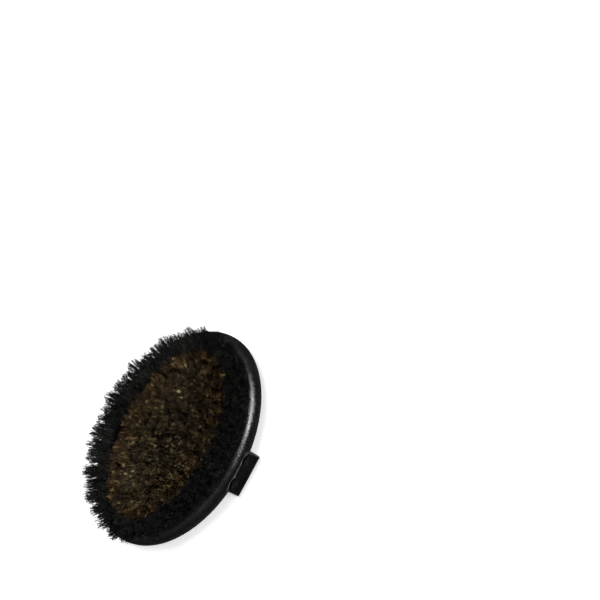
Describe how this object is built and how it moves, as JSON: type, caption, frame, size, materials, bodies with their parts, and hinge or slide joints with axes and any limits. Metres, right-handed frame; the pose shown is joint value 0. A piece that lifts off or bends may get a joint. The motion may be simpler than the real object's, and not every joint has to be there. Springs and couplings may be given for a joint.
{
  "type": "oval palm brush with hand strap",
  "caption": "Oval palm brush: dark wooden block with black outer and bronze inner bristle tufts and a tacked leather hand strap.",
  "frame": {"origin": "on the surface that the brush lies on, under the middle of the block: the flat belly of the hand strap is at Z 0", "axes": "+Z from the strap towards the bristle tips; +Y along the oval block; +X across it, towards the strap's right-hand end"},
  "size_m": [0.0884, 0.13, 0.0468],
  "materials": {
    "block_wood": "satin",
    "black_bristle": "matte",
    "bronze_bristle": "satin",
    "staple_wire": "satin",
    "strap_leather": "satin",
    "tack_lacquer": "gloss"
  },
  "bodies": {
    "strap_belly": {"strap_span": "strap_leather"},
    "brush": {"block": "block_wood", "black_tufts_outer": "black_bristle", "black_tufts_inner": "black_bristle", "bronze_tufts_ring_1": "bronze_bristle", "bronze_tufts_ring_2": "bronze_bristle", "bronze_tufts_ring_3": "bronze_bristle", "bronze_tufts_ring_4": "bronze_bristle", "black_staples_outer": "staple_wire", "black_staples_inner": "staple_wire", "bronze_staples_ring_1": "staple_wire", "bronze_staples_ring_2": "staple_wire", "bronze_staples_ring_3": "staple_wire", "bronze_staples_ring_4": "staple_wire", "strap_end_left": "strap_leather", "strap_end_right": "strap_leather", "strap_side_left": "strap_leather", "strap_side_right": "strap_leather", "tack_left_front": "tack_lacquer", "tack_left_rear": "tack_lacquer", "tack_right_front": "tack_lacquer", "tack_right_rear": "tack_lacquer"}
  },
  "joints": [
    {"name": "strap_slack", "type": "slide", "parent": "strap_belly", "child": "brush", "axis": [0, 0, 1], "range_m": [0, 0.015], "deforming": ["strap_side_left", "strap_side_right"]}
  ]
}
